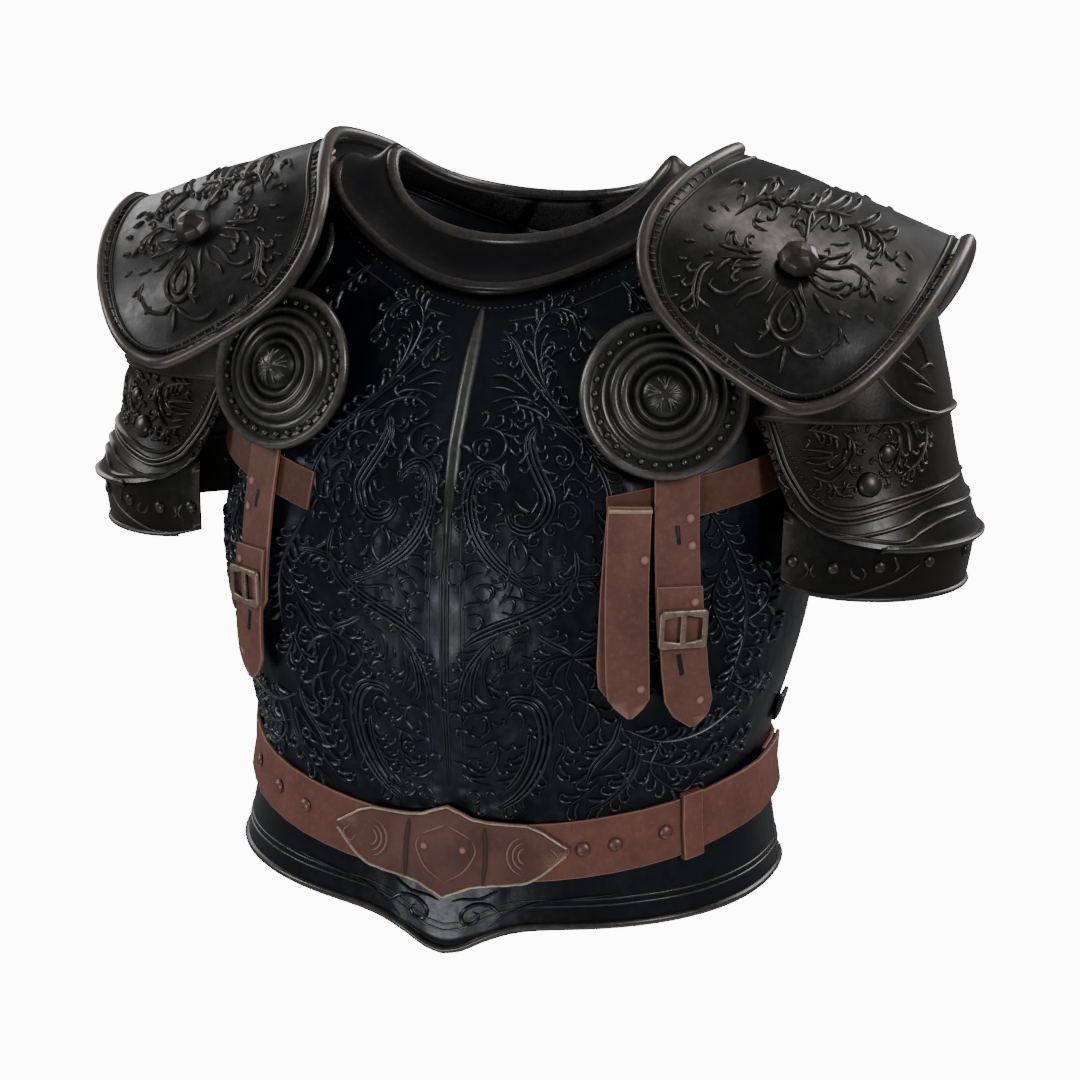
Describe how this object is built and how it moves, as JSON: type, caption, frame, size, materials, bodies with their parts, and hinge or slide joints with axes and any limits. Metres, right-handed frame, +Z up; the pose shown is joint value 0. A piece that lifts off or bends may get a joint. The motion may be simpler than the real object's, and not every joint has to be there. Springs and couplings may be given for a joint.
{
  "type": "embossed steel cuirass with pauldrons",
  "caption": "Blackened steel breastplate and backplate embossed with acanthus scrolls, with a rolled collar, pauldrons, arm plates, roundels, leather straps and a waist belt.",
  "frame": {"origin": "on the middle line between the shoulders, at the height where the plates rest on them", "axes": "+X to the wearer's left, -Y to the front, +Z up"},
  "size_m": [0.5952, 0.3039, 0.4925],
  "materials": {
    "steel": "blackened and burnished, worn brighter on the edges",
    "leather": "matt reddish brown",
    "brass_fittings": "aged and brushed"
  },
  "bodies": {
    "root": {"breastplate": "steel", "backplate": "steel", "collar": "steel", "pauldron_cap_left": "steel", "pauldron_cap_right": "steel", "cap_boss_left": "steel", "cap_boss_right": "steel", "lower_lame_left": "steel", "lower_lame_right": "steel", "arm_plate_left": "steel", "arm_plate_right": "steel", "upper_lame_left": "steel", "upper_lame_right": "steel", "arm_strap_left": "leather", "arm_strap_right": "leather", "roundel_strap_left": "leather", "roundel_strap_right": "leather", "strap_tail_left": "leather", "strap_tail_right": "leather", "loose_tail_back": "leather", "loose_tail_front": "leather", "roundel_left": "steel", "roundel_right": "steel", "strap_buckle_left": "brass_fittings", "strap_buckle_right": "brass_fittings", "shoulder_strap_left": "leather", "shoulder_strap_right": "leather", "shoulder_buckle_left": "brass_fittings", "shoulder_buckle_right": "brass_fittings", "arm_leather_left": "leather", "arm_leather_right": "leather", "belt_front": "leather", "belt_back": "leather", "belt_plate": "leather", "belt_keeper": "leather", "belt_stud_1": "brass_fittings", "belt_stud_2": "brass_fittings", "belt_stud_3": "brass_fittings", "belt_stud_4": "brass_fittings", "belt_stud_5": "brass_fittings", "belt_stud_6": "brass_fittings", "side_clasp_left": "steel", "side_clasp_right": "steel"}
  },
  "joints": []
}
